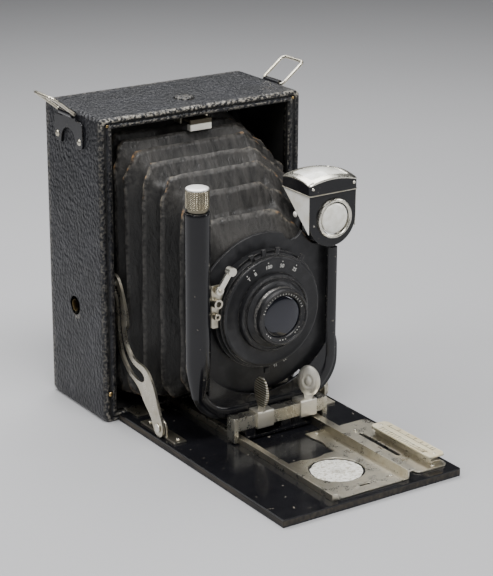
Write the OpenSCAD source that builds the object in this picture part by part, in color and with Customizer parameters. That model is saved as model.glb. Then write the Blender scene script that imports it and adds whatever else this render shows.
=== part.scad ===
// Folding plate camera, opened for use. Millimetres, +Z up, lens facing -Y, +X to the right.
// Modules draw with the case's front face at y = 0; placed() moves the whole to its origin.

/* [Case] */
// Width of the case over the leather
case_w = 105; // [103:1:110]
// Depth of the case, front rim to back
case_d = 49; // [48:1:52]
// Height of the case over the leather
case_h = 140; // [139:1:144]
// Radius of the long rounded edges
case_edge_r = 2.7; // [2:0.1:3.5]
// Width of the front opening
open_w = 92; // [91.6:0.2:92.4]
// Thickness of the leather covering
skin_t = 0.8; // [0.6:0.1:1]

/* [Drop bed] */
// Length of the drop bed
bed_l = 130; // [129:1:131]
// Width of the drop bed
bed_w = 91; // [90:0.5:91.4]
// Leather under the bed
bed_skin_t = 0.8; // [0.6:0.1:1]
// Thickness of the wooden bed board
bed_board_t = 2.05; // [2:0.05:2.1]
// Thickness of the enamelled plate on the bed
bed_plate_t = 0.8; // [0.75:0.05:0.85]

/* [Standard and front] */
// Height of the lens axis above the base
lens_z = 60; // [59:0.5:61]
// Distance of the standard in front of the case
standard_y = 50.5; // [50:0.5:51]
// Outer radius of the rising-front tube
tube_r = 5.5; // [5.3:0.1:5.5]
// Radius of the rising-front knob
knob_r = 5; // [4.5:0.1:5.4]
// Radius of the shutter drum
drum_r = 24.6; // [24.4:0.1:24.6]
// Radius of the front lens
glass_r = 9.2; // [8.5:0.1:9.4]

/* [Sockets] */
// Wall radius of both tripod sockets (tapped 1/4 inch)
socket_r = 2.55; // [2.5:0.05:2.6]

/* [Hidden] */
$fn = 64;

front_y = (bed_l + 0.3 - case_d - 3.1) / 2;
open_x = open_w / 2;
floor_z = 3.9;
open_top = case_h - 4.7;
shell_x = case_w / 2 - skin_t;
half_w = case_w / 2;
bed_x = bed_w / 2;
bed_rear = -0.3;
bed_front = bed_rear - bed_l;
bed_z1 = bed_skin_t;
bed_z2 = bed_z1 + bed_board_t;
bed_z3 = bed_z2 + bed_plate_t;
bed_axis = 2;
plate_gap = 0.7;
pin_r = 0.8;
run = 0.05;

// Plate opening of the back, and the door that closes it
plate_x = 41;
plate_z = [14, 125];
frame_y = [40, 42];
door_y = [42.4, case_d - 0.4];
door_z = [floor_z + 0.5, open_top - 0.5];
back_pin_y = case_d + 1.6;
back_pin_x = -open_x;

// Rails: the left rail is a raised strip, the right one a Z-bent flange
rail_in = -16.5;
rail_out = -19.3;
flange_x = 19.5;
flange_out = 23.4;
rail_h = 6.6;
flange_h = 7.9;
track_t = 0.6;
bush_y = -104;
bush_r = 11.8;

// Struts lie in a plane inside each side of the opening
strut_x = [43.4, 44.6];
strut_pivot = [-32.7, 7.9];
strut_pin = [4, 64];

// Standard
std_y = -standard_y;
tube_x = -35;
leg_in = 31.9;
leg_out = 37.3;
board_y = [-47.5, -46];
screw_r = 1.5;
nut_z = [52, 68];
bar_y = [-58.5, -53];
bar_z = [9.5, 15.5];
bar_x = [-19.5, 27.5];
tab_y = -57.6;
finder_x = 32.5;
finder_z = 96;
finder_y = [-53.5, -33.2];
finder_r = 12.4;
hood_z = 108;
ring_u = 15;
ring_wire_r = 0.8;
ring_y = [17, 33];
ring_axis = [54.2, 138.8];
ring_lift = 38;

module placed() {
  translate([0, front_y, 0]) children();
}

module block(lo, hi) {
  translate(lo) cube(hi - lo);
}

module along_x(x0, x1) {
  translate([x0, 0, 0]) rotate([90, 0, 90]) linear_extrude(x1 - x0) children();
}

module along_y(y0, y1) {
  translate([0, y1, 0]) rotate([90, 0, 0]) linear_extrude(y1 - y0) children();
}

module along_z(z0, z1) {
  translate([0, 0, z0]) linear_extrude(z1 - z0) children();
}

module rod_x(x0, x1, at, r) {
  translate([x0, at[0], at[1]]) rotate([0, 90, 0]) cylinder(h = x1 - x0, r = r);
}

module rod_y(y0, y1, at, r) {
  translate([at[0], y1, at[1]]) rotate([90, 0, 0]) cylinder(h = y1 - y0, r = r);
}

module rod_z(z0, z1, at, r) {
  translate([at[0], at[1], z0]) cylinder(h = z1 - z0, r = r);
}

module rect(lo, hi) {
  translate(lo) square(hi - lo);
}

module spot(at, r) {
  translate(at) circle(r);
}

// Rectangle with round corners
module slab(lo, hi, r) {
  rect([lo[0] + r, lo[1]], [hi[0] - r, hi[1]]);
  rect([lo[0], lo[1] + r], [hi[0], hi[1] - r]);
  for (x = [lo[0] + r, hi[0] - r], z = [lo[1] + r, hi[1] - r]) spot([x, z], r);
}

// A straight link with round ends
module link(a, b, r) {
  d = b - a;
  spot(a, r);
  spot(b, r);
  translate(a) rotate(atan2(d[1], d[0])) translate([0, -r]) square([norm(d), 2 * r]);
}

module both_sides() {
  children();
  mirror([1, 0, 0]) children();
}

// ---- Case ----

module shell_outline() {
  slab([-shell_x, skin_t], [shell_x, case_h - skin_t], case_edge_r - skin_t);
}

module opening_outline() {
  rect([-open_x, floor_z], [open_x, open_top]);
}

// Room for the bed's hinge knuckles in the sill
module hinge_pockets() {
  both_sides() block([26.7, -1, -1], [41.3, 4.2, floor_z + 1]);
}

module case_shell() color("#4a3020") {
  difference() {
    along_y(skin_t, case_d) difference() {
      shell_outline();
      opening_outline();
    }
    hinge_pockets();
    rod_x(-46, 46, [bed_axis, bed_axis], pin_r + 0.02);
    rod_x(-60, -40, [25.5, 49], 4.52);
    rod_z(137.6, 141, [0, 15.5], 4.6);
    rod_z(130, 141, [0, 15.5], 1.1);
  }
}

module leather_skin() {
  difference() {
    along_y(0, case_d) slab([-half_w, 0], [half_w, case_h], case_edge_r);
    along_y(skin_t, case_d + 1) shell_outline();
    along_y(-1, case_d + 1) opening_outline();
    hinge_pockets();
    rod_x(-60, -40, [25.5, 49], 4.52);
    rod_z(137.6, 141, [0, 15.5], 4.6);
  }
}

module leather_sides() color("#22242a") {
  intersection() {
    leather_skin();
    both_sides() block([open_x + 0.01, -1, -1], [60, 60, 150]);
  }
}

module leather_ends() color("#22242a") {
  intersection() {
    leather_skin();
    block([-open_x, -1, -1], [open_x, 60, 150]);
  }
}

module corner_nails() color("goldenrod") {
  for (p = [[49.4, 13.5], [48.4, 136.9]]) both_sides()
    translate([p[0], 0, p[1]]) rotate([90, 0, 0]) {
      cylinder(h = 0.25, r = 1.3);
      cylinder(h = 0.5, r = 0.8);
    }
}

// Plate with two legs, an arch between them and a barrel for the ring
module strap_lug() {
  difference() {
    union() {
      along_x(half_w, half_w + 1) difference() {
        union() {
          slab([13.5, 123.8], [38.5, 136], 2.4);
          rect([19.2, 134], [30.8, 138.8]);
        }
        spot([26, 125], 6.6);
        rect([19.4, 120], [32.6, 125]);
      }
      along_y(19.2, 30.8) spot(ring_axis, 1.7);
    }
    along_y(18, 32) spot(ring_axis, ring_wire_r + run);
  }
}

module strap_lugs() color("silver") {
  both_sides() strap_lug();
}

module lug_rivets() color("silver") {
  both_sides() for (y = [16.2, 35.8]) {
    rod_x(half_w + 1, half_w + 1.6, [y, 127], 1.5);
  }
}

// Wire loop drawn flat, then lifted about its own pin
module strap_ring() {
  w = ring_wire_r;
  c = (ring_y[0] + ring_y[1]) / 2;
  s = (ring_y[1] - ring_y[0]) / 2;
  translate([ring_axis[0], c, ring_axis[1]]) rotate([0, -ring_lift, 0]) {
    for (u = [0, ring_u]) rod_y(-s - w, s + w, [u, 0], w);
    for (y = [-s, s]) rod_x(0, ring_u, [y, 0], w - 0.04);
  }
}

module strap_ring_right() color("#b9ae94") strap_ring();

module strap_ring_left() color("#b9ae94") mirror([1, 0, 0]) strap_ring();

module side_socket() color("goldenrod") {
  difference() {
    rod_x(-half_w, -open_x - 0.2, [25.5, 49], 4.5);
    rod_x(-half_w - 1, -half_w + 5.2, [25.5, 49], socket_r);
  }
}

// The same two rail sections as on the bed, inside the case
module rail_section(floor_lo) {
  rect([rail_out, floor_lo], [rail_in, rail_h]);
  rect([flange_x, floor_lo], [flange_x + 0.8, flange_h]);
  rect([flange_x, flange_h - 0.8], [flange_out, flange_h]);
}

module body_rails() color("#c9bf9f") {
  along_y(1, 37) rail_section(floor_z);
  block([rail_out, 10.5, floor_z], [flange_x + 0.5, 13, floor_z + 0.4]);
}

module back_frame() color("#17181a") {
  along_y(frame_y[0], frame_y[1]) difference() {
    rect([-open_x, floor_z], [open_x, open_top]);
    rect([-plate_x, plate_z[0]], [plate_x, plate_z[1]]);
  }
  along_y(38.6, frame_y[0]) difference() {
    rect([-44, 8], [44, 131]);
    rect([-plate_x, plate_z[0]], [plate_x, plate_z[1]]);
  }
}

module bed_hinge_pin() color("silver") {
  rod_x(-44, 44, [bed_axis, bed_axis], pin_r);
}

module strut_pins() color("silver") {
  both_sides() {
    rod_x(42.6, open_x, strut_pin, 1.2);
    rod_x(42.2, 42.9, strut_pin, 2);
  }
}

module latch_bracket() color("silver") {
  both_sides() difference() {
    block([6.2, 7.5, 130.9], [7.2, 12.5, open_top]);
    rod_x(6, 8, [10, 132.7], 0.72);
  }
  rod_x(-7.4, 7.4, [10, 132.7], 0.7);
}

module latch() color("ivory") {
  difference() {
    union() {
      block([-5.5, 2.6, 132.1], [5.5, 17.5, 133.3]);
      block([-5.5, 1.6, 128.3], [5.5, 2.8, 133.3]);
      block([-5.5, 1.6, 128.3], [5.5, 4.5, 131]);
      rod_x(-5.5, 5.5, [10, 132.7], 1.4);
    }
    rod_x(-9, 9, [10, 132.7], 0.76);
  }
}

module release_button() color("#2b2c30") {
  rod_z(139, 140.6, [0, 15.5], 4.4);
  rod_z(133.7, 139, [0, 15.5], 1);
}

// Hinge leaf and outer knuckles on the case
module back_hinge() color("silver") {
  block([-51, case_d, 30], [-47.6, case_d + 0.6, 110]);
  for (z = [30, 60, 90]) {
    rod_z(z, z + 14, [back_pin_x, back_pin_y], 1.5);
    block([-48, case_d, z], [back_pin_x, case_d + 0.6, z + 14]);
  }
  rod_z(29, 105, [back_pin_x, back_pin_y], 0.7);
}

module back_door() color("#22242a") {
  difference() {
    union() {
      along_y(door_y[0], door_y[1]) difference() {
        rect([-open_x + 0.5, door_z[0]], [open_x - 0.5, door_z[1]]);
        rect([-38, 18], [38, 121]);
      }
      for (z = [44.3, 74.3]) {
        rod_z(z, z + 15.4, [back_pin_x, back_pin_y], 1.5);
        block([back_pin_x, case_d - 0.5, z], [-42, case_d + 0.6, z + 15.4]);
      }
    }
    rod_z(20, 120, [back_pin_x, back_pin_y], 0.75);
    block([-plate_x, door_y[0] - 1, 15], [plate_x, door_y[0] + 2.2, 124]);
  }
}

module ground_glass() color("#c8d0cf", 0.5) {
  block([-plate_x + 0.1, door_y[0] + 0.2, 15.1], [plate_x - 0.1, door_y[0] + 2.2, 123.9]);
}

// ---- Drop bed ----

module bed_outline() {
  rect([-bed_x, bed_front], [bed_x, bed_rear]);
}

module bed_leather() color("#22242a") {
  along_z(0, bed_z1) difference() {
    bed_outline();
    spot([0, bush_y], 6);
  }
}

module bed_board() color("#5a4029") {
  along_z(bed_z1, bed_z2) difference() {
    bed_outline();
    spot([0, bush_y], 6);
  }
}

module bed_plate() color("#101113") {
  along_z(bed_z2, bed_z3) difference() {
    bed_outline();
    rect([-bed_x - 1, bed_rear - plate_gap], [bed_x + 1, bed_rear + 1]);
    spot([0, bush_y], 6);
  }
}

module bed_hinge() color("silver") {
  both_sides() difference() {
    union() {
      block([27, -9, bed_z3], [41, 1.2, bed_z3 + 0.7]);
      block([27, 0.4, bed_axis], [41, 1.6, bed_z3 + 0.7]);
      rod_x(27, 41, [bed_axis, bed_axis], 1.6);
    }
    rod_x(26, 42, [bed_axis, bed_axis], pin_r + run);
  }
}

// Angle piece on the bed that carries the strut's pivot
module strut_brackets() color("#c9bf9f") {
  both_sides() {
    block([37, -44, bed_z3], [43, -15, bed_z3 + 0.8]);
    along_x(42.1, 43) difference() {
      union() {
        spot(strut_pivot, 4.2);
        rect([-36.9, bed_z3], [-28.5, strut_pivot[1]]);
      }
      spot(strut_pivot, 1.22);
    }
  }
}

module strut_pivots() color("silver") {
  both_sides() {
    rod_x(41.9, 44.9, strut_pivot, 1.2);
    rod_x(44.8, 45.3, strut_pivot, 2);
    rod_x(41.4, 42.1, strut_pivot, 2);
  }
}

module track() color("#c9bf9f") {
  difference() {
    union() {
      along_y(-127.5, -1) rail_section(bed_z3);
      block([rail_in - 1, -127.5, bed_z3], [flange_x + 0.5, -88, bed_z3 + track_t]);
      block([10.5, -90, bed_z3], [flange_x + 0.5, -66, bed_z3 + track_t]);
    }
    rod_z(0, 10, [0, bush_y], 12);
    rod_z(0, 10, [-1, -77], 12.5);
    block([-4, -123.2, 0], [6.5, -120.6, 10]);
  }
}

module tripod_bush() color("#d8d6cc") {
  difference() {
    union() {
      rod_z(0, bed_z3 + 0.1, [0, bush_y], 5.95);
      rod_z(bed_z3, bed_z3 + 0.5, [0, bush_y], bush_r);
    }
    rod_z(-1, 3.4, [0, bush_y], socket_r);
  }
}

module focus_base_plate() color("#c9bf9f") {
  along_z(bed_z3, bed_z3 + 0.7) difference() {
    slab([26, -125.5], [43, -67], 3);
    link([31, -80], [31, -106], 1.1);
  }
}

// Folded strip that carries the scale above the base plate
module scale_bracket() color("#c9bf9f") {
  z = bed_z3 + 0.7;
  block([36.2, -121, z], [42, -83, z + 0.7]);
  block([36.2, -121, z], [37, -83, z + 3.3]);
  block([34.8, -122, z + 2.6], [43.2, -82, z + 3.3]);
}

module focus_scale() color("ivory") {
  z = bed_z3 + 4;
  along_z(z, z + 0.7) slab([34.6, -123], [43.4, -81], 2.6);
}

module bed_catch() color("#c9bf9f") {
  along_z(bed_z3, bed_z3 + 0.5) difference() {
    rect([-3.8, -123.1], [6.3, -120.7]);
    rect([-1.5, -122.4], [4, -121.4]);
  }
}

module bed_rivets() color("silver") {
  z = bed_z3 + track_t;
  for (p = [[15.2, -121.4], [14.6, -69]]) rod_z(z, z + 0.5, p, 0.9);
  for (p = [[31, -75.5], [36, -123.3]]) rod_z(bed_z3 + 0.7, bed_z3 + 1.3, p, 0.9);
  both_sides() for (y = [-18, -41]) rod_z(bed_z3 + 0.8, bed_z3 + 1.4, [39.5, y], 1);
}

// ---- Struts ----

// Elbowed brace: its bent slot slides over a pin in the case as the bed folds
module strut_outline() {
  p = strut_pivot;
  q = strut_pin;
  u = (q - p) / norm(q - p);
  n = [-u[1], u[0]];
  elbow = p + 27 * u - 1.5 * n;
  difference() {
    union() {
      link(p, p + 26 * u + 1.2 * n, 4.1);
      link(p + 24 * u, elbow + 6 * u, 4.6);
      link(p + 30 * u, q + 4.5 * u, 3.7);
    }
    spot(p, 1.25);
    link(p + 26 * u, q + 0.25 * u, 1.55);
  }
}

module strut() {
  along_x(strut_x[0], strut_x[1]) strut_outline();
}

module strut_right() color("#cfc9b8") strut();

module strut_left() color("#cfc9b8") mirror([1, 0, 0]) strut();

// ---- Carriage and standard ----

module carriage_plate() color("#c9bf9f") {
  z = [bed_z3 + track_t + 0.3, bed_z3 + track_t + 1.5];
  block([rail_in + 0.6, bar_y[0], z[0]], [flange_x - 0.6, -30, z[1]]);
  for (x = [-15.5, 3.5]) block([x, bar_y[0] + 0.3, z[1]], [x + 5, bar_y[1] - 0.3, bar_z[0]]);
}

module crossbar() color("#c9bf9f") {
  block([bar_x[0], bar_y[0], bar_z[0]], [bar_x[1] - 2, bar_y[1], bar_z[1]]);
  block([bar_x[0] - 2.2, bar_y[0] - 0.2, 4.4], [bar_x[0] - 0.1, bar_y[1] + 0.2, bar_z[1] + 0.2]);
  block([bar_x[0] - 1, bar_y[0], bar_z[0]], [bar_x[0] + 1, bar_y[1], bar_z[1]]);
  block([bar_x[1] - 2.2, bar_y[0] - 0.2, 4.8], [bar_x[1], bar_y[1] + 0.2, bar_z[1] + 0.2]);
}

module u_outline() {
  difference() {
    union() {
      slab([-38.2, 13.7], [38.2, 52], 17);
      slab([-leg_out, 40], [leg_out, 82.5], 1.5);
    }
    intersection() {
      spot([0, lens_z], 38.5);
      rect([-leg_in, 0], [leg_in, lens_z + 5]);
    }
    rect([-leg_in, lens_z], [leg_in, 90]);
  }
}

module u_standard() color("#101113") {
  plate_top = bed_z3 + track_t + 1.5;
  difference() {
    along_y(std_y - 0.6, std_y + 0.6) u_outline();
    rod_z(26, 120, [tube_x, std_y], tube_r);
    block([-45, -60, 44], [-25, -40, 90]);
  }
  block([-14, std_y - 0.6, plate_top], [14, std_y + 0.6, 18]);
  block([-14, std_y - 0.6, plate_top], [14, -40, plate_top + 1.2]);
}

module screw_tube() color("#101113") {
  difference() {
    rod_z(26, 109.8, [tube_x, std_y], tube_r);
    rod_z(24, 108.3, [tube_x, std_y], 4.3);
    rod_z(100, 112, [tube_x, std_y], screw_r + run);
    block([tube_x, -47.9, 48], [tube_x + 8, -45.6, 82]);
  }
}

// ---- Finger tabs ----

module tab_clip(x0, x1) {
  difference() {
    block([x0, bar_y[0] - 1, bar_z[0] - 0.9], [x1, bar_y[1] + 0.8, bar_z[1] + 1]);
    block([x0 - 1, bar_y[0] - 0.15, bar_z[0] - 0.15], [x1 + 1, bar_y[1] + 0.15, bar_z[1] + 0.15]);
  }
}

module tab_blade(x, turn) {
  translate([x, tab_y, 0]) rotate([0, 0, turn]) {
    along_x(-0.6, 0.6) slab([-5.3, 17.8], [5.3, 32], 5.2);
    along_x(-0.6, 0.6) rect([-1.8, bar_z[1] + 0.9], [1.8, 19]);
  }
}

module finger_tab_left() color("#d5cdb6") {
  tab_clip(-10, -1.6);
  tab_blade(-7, 0);
}

module finger_tab_right() color("#d5cdb6") {
  tab_clip(13, 21.4);
  tab_blade(18.2, 32);
}

// ---- Rising front ----

module rise_screw() color("silver") {
  rod_z(40, 118, [tube_x, std_y], screw_r);
  rod_z(106.4, 108.1, [tube_x, std_y], 3);
}

module rise_knob() color("#b8b2a0") {
  difference() {
    union() {
      rod_z(110, 111, [tube_x, std_y], knob_r - 0.6);
      rod_z(111, 119.8, [tube_x, std_y], knob_r);
      rod_z(119.8, 120.4, [tube_x, std_y], knob_r - 0.5);
    }
    rod_z(109, 118, [tube_x, std_y], screw_r);
  }
}

module rise_nut() color("goldenrod") {
  difference() {
    rod_z(nut_z[0], nut_z[1], [tube_x, std_y], 4.1);
    rod_z(nut_z[0] - 1, nut_z[1] + 1, [tube_x, std_y], screw_r + run);
  }
  block([tube_x + 2.5, board_y[0], nut_z[0]], [-29.2, board_y[1], nut_z[1]]);
}

module board_outline() {
  difference() {
    union() {
      intersection() {
        spot([0, lens_z - 0.5], 38.5);
        rect([-29.2, 10], [31.3, lens_z]);
      }
      intersection() {
        spot([0, lens_z - 0.5], 34);
        rect([-29.2, lens_z - 1], [31.3, 100]);
      }
      rect([14, 78], [31.3, 92]);
      rect([20, 34], [36.5, 82.6]);
      spot([26.5, 34], 10);
    }
    spot([15.6, 93.2], 5.2);
    spot([finder_x, finder_z], 13.1);
    spot([0, lens_z], 14);
  }
}

module lens_board() color("#1b1c1f") {
  along_y(board_y[0], board_y[1]) board_outline();
}

// ---- Bellows, as plain hollow solids ----

module bellows_ring(y, hx, z0, z1) {
  translate([-hx, y, z0]) cube([2 * hx, 0.1, z1 - z0]);
}

module bellows_rear() color("#2c2b2a") {
  difference() {
    hull() {
      bellows_ring(38.3, 43.6, 9, 128);
      bellows_ring(2, 41.6, 8.6, 127);
    }
    hull() {
      bellows_ring(39, 37.6, 15, 122);
      bellows_ring(1.5, 35.6, 14.6, 121);
    }
  }
}

module bellows_front() color("#2c2b2a") {
  difference() {
    hull() {
      bellows_ring(1.7, 41.6, 8.6, 127);
      bellows_ring(-45.8, 26, 26.5, 90.5);
    }
    hull() {
      bellows_ring(2.2, 35.6, 14.6, 121);
      bellows_ring(-46.4, 20, 32.5, 84.5);
    }
  }
}

// ---- Shutter and lens ----

// Solid turned about the lens axis; the outline's x is the radius and its y the world y
module turned() {
  translate([0, 0, lens_z]) rotate([-90, 0, 0]) rotate_extrude() children();
}

module shutter_case() color("#1b1c1f") {
  difference() {
    turned() {
      rect([13.2, -49], [26.5, -47.5]);
      rect([drum_r - 0.1, -51], [26.5, -48.9]);
      rect([drum_r - 1.4, -54], [drum_r, -49]);
    }
    block([-14, -50.95, lens_z - 30], [14, -50.05, lens_z - 19]);
  }
  rod_y(-53.4, -48.9, [0, lens_z + 17], 0.6);
}

module shutter_face() color("#1b1c1f") {
  turned() rect([11.2, -55.2], [drum_r, -54]);
}

module lens_barrel() color("#17181a") {
  turned() polygon([[11.2, -52.8], [11.2, -55.2], [17, -55.2], [17, -58.2], [15.6, -59.4],
    [12.6, -59.8], [12.6, -64], [11.4, -64.4], [9.4, -62.8], [9.4, -52.8]]);
  turned() polygon([[9.4, -48.8], [13.1, -48.8], [13.1, -45], [9.4, -45]]);
}

module lens_glass() color("#31384a", 0.6) {
  rod_y(-62.6, -60.4, [0, lens_z], glass_r);
  rod_y(-48.2, -46.2, [0, lens_z], glass_r);
}

// Ring that sets the speed, with small index tabs
module speed_ring() color("#c9bf9f") {
  turned() rect([drum_r + 0.1, -53.4], [drum_r + 0.9, -51.3]);
  for (a = [52, 82, 97, 110]) translate([0, 0, lens_z]) rotate([0, -a, 0])
    block([drum_r + 0.5, -53.4, -0.9], [28.2, -52.2, 0.9]);
}

// Diaphragm ring in the shutter, with its pointer out at the bottom
module aperture_ring() color("#c9bf9f") {
  turned() rect([20.6, -50.8], [22.6, -50.2]);
  block([-1.1, -50.8, lens_z - 29], [1.1, -50.2, lens_z - 21]);
  block([-1.1, -51.8, lens_z - 29.6], [1.1, -50.2, lens_z - 27.2]);
}

module release_bracket() color("#c9bf9f") {
  difference() {
    union() {
      along_y(-52.2, -51) difference() {
        slab([-29.2, 57], [-23, 76], 1);
        spot([0, lens_z], 25.8);
      }
      rod_y(-55, -52, [-27.3, 68.5], 2.1);
      rod_y(-54.4, -52, [-27.4, 62.5], 1.5);
      rod_y(-55.2, -52, [-26.2, 74.2], 0.8);
    }
    rod_y(-56, -50, [-27.3, 68.5], 1.2);
    rod_y(-56, -50, [-27.4, 62.5], 0.7);
  }
}

module release_lever() color("#d5cdb6") {
  difference() {
    union() {
      along_y(-54.4, -53.2) {
        link([-26.2, 74.2], [-20.8, 82], 1.3);
        spot([-26.2, 74.2], 1.9);
      }
      rod_y(-56, -52.6, [-20.8, 82], 1.9);
    }
    rod_y(-56, -51, [-26.2, 74.2], 0.85);
  }
}

// Half-round blade hung from the pin above the lens
module blade_outline() {
  difference() {
    union() {
      intersection() {
        spot([0, lens_z], 9.9);
        rect([-10, lens_z - 10], [0.8, lens_z + 10]);
      }
      rect([-3, lens_z + 7], [0.8, lens_z + 17]);
      spot([0, lens_z + 17], 1.8);
    }
    spot([0, lens_z + 17], 0.65);
  }
}

module blade_left() color("#3a3c40") {
  along_y(-52.5, -52.2) blade_outline();
}

module blade_right() color("#3a3c40") {
  mirror([1, 0, 0]) along_y(-51.9, -51.6) blade_outline();
}

// ---- Brilliant finder ----

module finder_bracket() color("#101113") {
  block([32, board_y[1], 79.4], [36.5, -31, 82.6]);
  block([31.6, -32.2, 79.4], [36.5, -31, 99]);
  rod_y(-40, -31.6, [finder_x, finder_z], 1.15);
}

// Outline of the finder's face: square above, round below
module finder_face(r) {
  spot([finder_x, finder_z], r);
  rect([finder_x - r, finder_z], [finder_x + r, hood_z]);
}

module finder_body() color("#17181a") {
  difference() {
    union() {
      along_y(finder_y[0], finder_y[0] + 1.2) finder_face(finder_r);
      intersection() {
        along_y(finder_y[0], finder_y[1]) finder_face(finder_r);
        along_x(0, 60) polygon([
          [finder_y[0], finder_z - 6.5],
          [finder_y[1], hood_z],
          [finder_y[0], hood_z]]);
      }
    }
    intersection() {
      along_y(finder_y[0] + 1, finder_y[1]) finder_face(finder_r - 1);
      along_x(0, 60) polygon([
        [finder_y[0] + 1, finder_z - 4],
        [finder_y[1] - 2.4, hood_z + 1],
        [finder_y[0] + 1, hood_z + 1]]);
    }
    rod_y(-60, -50, [finder_x, finder_z], 7.6);
    rod_y(-49, -30, [finder_x, finder_z], 1.2);
  }
  difference() {
    rod_y(-47.5, -34, [finder_x, finder_z], 2.6);
    rod_y(-49, -30, [finder_x, finder_z], 1.2);
    along_x(0, 60) polygon([
      [finder_y[0] + 1, finder_z - 4],
      [finder_y[1] - 2.4, hood_z + 1],
      [finder_y[0] + 1, hood_z + 1]]);
  }
}

// Hood band with its domed frame, side plates, bezel and rivets
module finder_trim() color("#d9d2bd") {
  x = [finder_x - 12.8, finder_x + 12.8];
  z = hood_z;
  difference() {
    union() {
      block([x[0], finder_y[0] - 0.5, z], [x[1], finder_y[1] + 0.3, z + 4]);
      intersection() {
        block([x[0], finder_y[0] - 0.5, z + 3.9], [x[1], finder_y[1] + 0.3, z + 12]);
        translate([finder_x, -43.4, z - 22.7]) sphere(31.4);
      }
    }
    block([x[0] + 1, finder_y[0] + 0.5, z - 1], [x[1] - 1, finder_y[1] - 0.7, z + 4.5]);
    block([x[0] + 3, finder_y[0] + 2.5, z - 1], [x[1] - 3, finder_y[1] - 2.7, z + 14]);
  }
  along_y(finder_y[0] - 1.3, finder_y[0]) difference() {
    spot([finder_x, finder_z], 8.9);
    spot([finder_x, finder_z], 7.5);
  }
}

module finder_optics() color("#e8ead8", 0.8) {
  rod_y(finder_y[0] - 0.8, finder_y[0] + 1.4, [finder_x, finder_z], 7.4);
  block([finder_x - 9.7, finder_y[0] + 2.6, hood_z + 4.6],
    [finder_x + 9.7, finder_y[1] - 2.8, hood_z + 7.2]);
}

placed() case_shell();
placed() leather_sides();
placed() leather_ends();
placed() corner_nails();
placed() strap_lugs();
placed() lug_rivets();
placed() side_socket();
placed() body_rails();
placed() back_frame();
placed() bellows_rear();
placed() bed_hinge_pin();
placed() strut_pins();
placed() latch_bracket();
placed() back_hinge();
placed() strap_ring_left();
placed() strap_ring_right();
placed() release_button();
placed() latch();
placed() back_door();
placed() ground_glass();
placed() bed_leather();
placed() bed_board();
placed() bed_plate();
placed() bed_hinge();
placed() strut_brackets();
placed() strut_pivots();
placed() track();
placed() tripod_bush();
placed() focus_base_plate();
placed() scale_bracket();
placed() focus_scale();
placed() bed_catch();
placed() bed_rivets();
placed() strut_left();
placed() strut_right();
placed() carriage_plate();
placed() crossbar();
placed() u_standard();
placed() screw_tube();
placed() finger_tab_left();
placed() finger_tab_right();
placed() rise_screw();
placed() rise_knob();
placed() lens_board();
placed() rise_nut();
placed() bellows_front();
placed() shutter_case();
placed() shutter_face();
placed() lens_barrel();
placed() lens_glass();
placed() release_bracket();
placed() finder_bracket();
placed() speed_ring();
placed() aperture_ring();
placed() release_lever();
placed() blade_left();
placed() blade_right();
placed() finder_body();
placed() finder_trim();
placed() finder_optics();
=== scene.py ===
import math

import bmesh
import bpy
from mathutils import Matrix, Vector, geometry, noise


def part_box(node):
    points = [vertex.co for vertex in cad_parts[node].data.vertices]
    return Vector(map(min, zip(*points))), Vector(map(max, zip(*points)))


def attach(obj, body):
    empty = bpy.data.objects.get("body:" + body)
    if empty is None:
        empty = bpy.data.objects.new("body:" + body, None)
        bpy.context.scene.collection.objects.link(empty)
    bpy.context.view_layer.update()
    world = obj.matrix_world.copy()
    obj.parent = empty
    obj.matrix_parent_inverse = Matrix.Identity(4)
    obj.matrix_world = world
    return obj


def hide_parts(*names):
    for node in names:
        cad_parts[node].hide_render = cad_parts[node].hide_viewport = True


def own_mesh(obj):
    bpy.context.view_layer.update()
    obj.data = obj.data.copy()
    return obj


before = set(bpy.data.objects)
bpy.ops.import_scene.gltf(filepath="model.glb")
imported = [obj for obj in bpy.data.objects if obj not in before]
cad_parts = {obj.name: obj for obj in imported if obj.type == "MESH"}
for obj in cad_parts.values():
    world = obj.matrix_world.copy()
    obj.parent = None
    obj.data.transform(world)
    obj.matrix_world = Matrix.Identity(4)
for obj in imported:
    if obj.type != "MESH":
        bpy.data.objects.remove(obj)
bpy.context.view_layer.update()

# Lengths in this script are millimetres, measured as on the drawing: x to the right of the lens axis,
# y back from the case's front face, z up from the base. at() turns them into the frame's metres.
MM = 0.001
FRONT_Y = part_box("leather_sides")[0].y
LENS_Z = 60.0
# Spacing of the ribs on the serrated thumb plate
RIB_PITCH = 1.1


def at(x, y, z):
    return Vector((x * MM, FRONT_Y + y * MM, z * MM))


def configure(thing, **settings):
    for key, value in settings.items():
        setattr(thing, key, value)
    return thing


# ---------------------------------------------------------------- materials


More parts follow.
